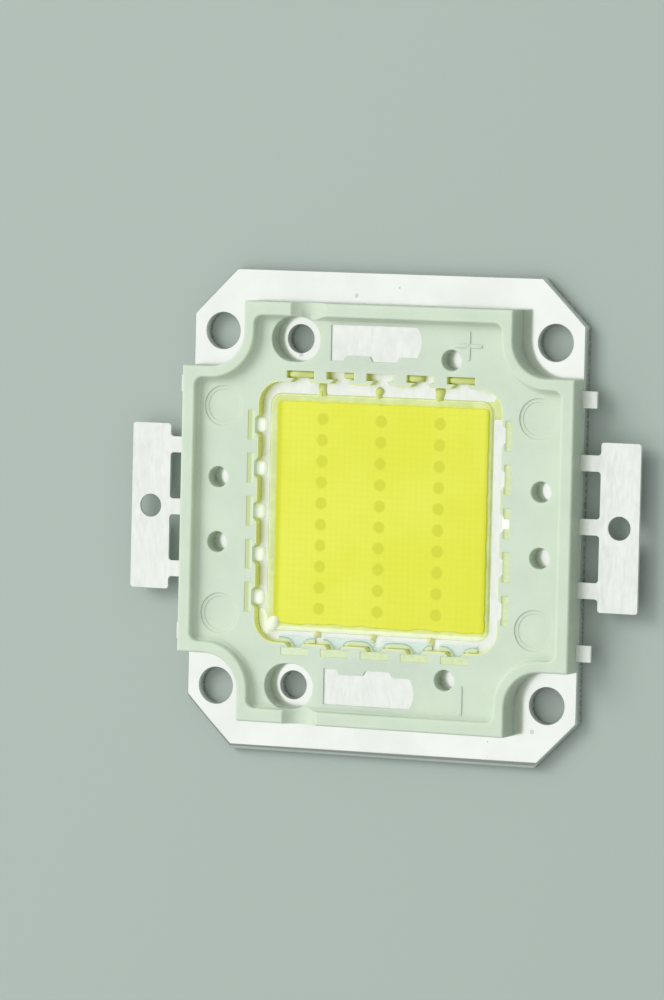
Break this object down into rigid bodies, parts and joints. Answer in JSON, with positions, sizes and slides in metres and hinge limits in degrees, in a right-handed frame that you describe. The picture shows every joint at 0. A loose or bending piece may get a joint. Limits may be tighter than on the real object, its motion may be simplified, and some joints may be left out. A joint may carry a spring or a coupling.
{
  "type": "high power led chip",
  "caption": "Square surface-emitting LED light source with a metal base plate, moulded plastic frame, phosphor window and two side solder tabs.",
  "frame": {"origin": "middle of the base plate's flat underside, the face that rests on the heat sink", "axes": "+X across the plate from one solder tab to the other, +Y along the plate towards the positive side, +Z out of the lit face"},
  "size_m": [0.052, 0.046, 0.004],
  "materials": {
    "plated_plate": "polished",
    "plated_leads": "satin",
    "housing_plastic": "satin",
    "phosphor_silicone": "satin",
    "clear_silicone": "gloss",
    "bead_silicone": "satin",
    "die": "satin",
    "bond_wire": "polished"
  },
  "bodies": {
    "root": {"base_plate": "plated_plate", "lead_frame_positive": "plated_leads", "lead_frame_negative": "plated_leads", "contact_pad_positive": "plated_leads", "contact_pad_negative": "plated_leads", "housing_frame": "housing_plastic", "phosphor_fill": "phosphor_silicone", "silicone_dam": "clear_silicone", "silicone_overflow": "clear_silicone", "wire_bead_top_1": "bead_silicone", "wire_bead_top_2": "bead_silicone", "wire_bead_top_3": "bead_silicone", "wire_bead_bottom_1": "bead_silicone", "wire_bead_bottom_2": "bead_silicone", "wire_bead_bottom_3": "bead_silicone", "led_die_1_1": "die", "led_die_1_2": "die", "led_die_1_3": "die", "led_die_1_4": "die", "led_die_1_5": "die", "led_die_1_6": "die", "led_die_1_7": "die", "led_die_1_8": "die", "led_die_1_9": "die", "led_die_1_10": "die", "led_die_2_1": "die", "led_die_2_2": "die", "led_die_2_3": "die", "led_die_2_4": "die", "led_die_2_5": "die", "led_die_2_6": "die", "led_die_2_7": "die", "led_die_2_8": "die", "led_die_2_9": "die", "led_die_2_10": "die", "led_die_3_1": "die", "led_die_3_2": "die", "led_die_3_3": "die", "led_die_3_4": "die", "led_die_3_5": "die", "led_die_3_6": "die", "led_die_3_7": "die", "led_die_3_8": "die", "led_die_3_9": "die", "led_die_3_10": "die", "bond_wires_1": "bond_wire", "bond_wires_2": "bond_wire", "bond_wires_3": "bond_wire"}
  },
  "joints": []
}
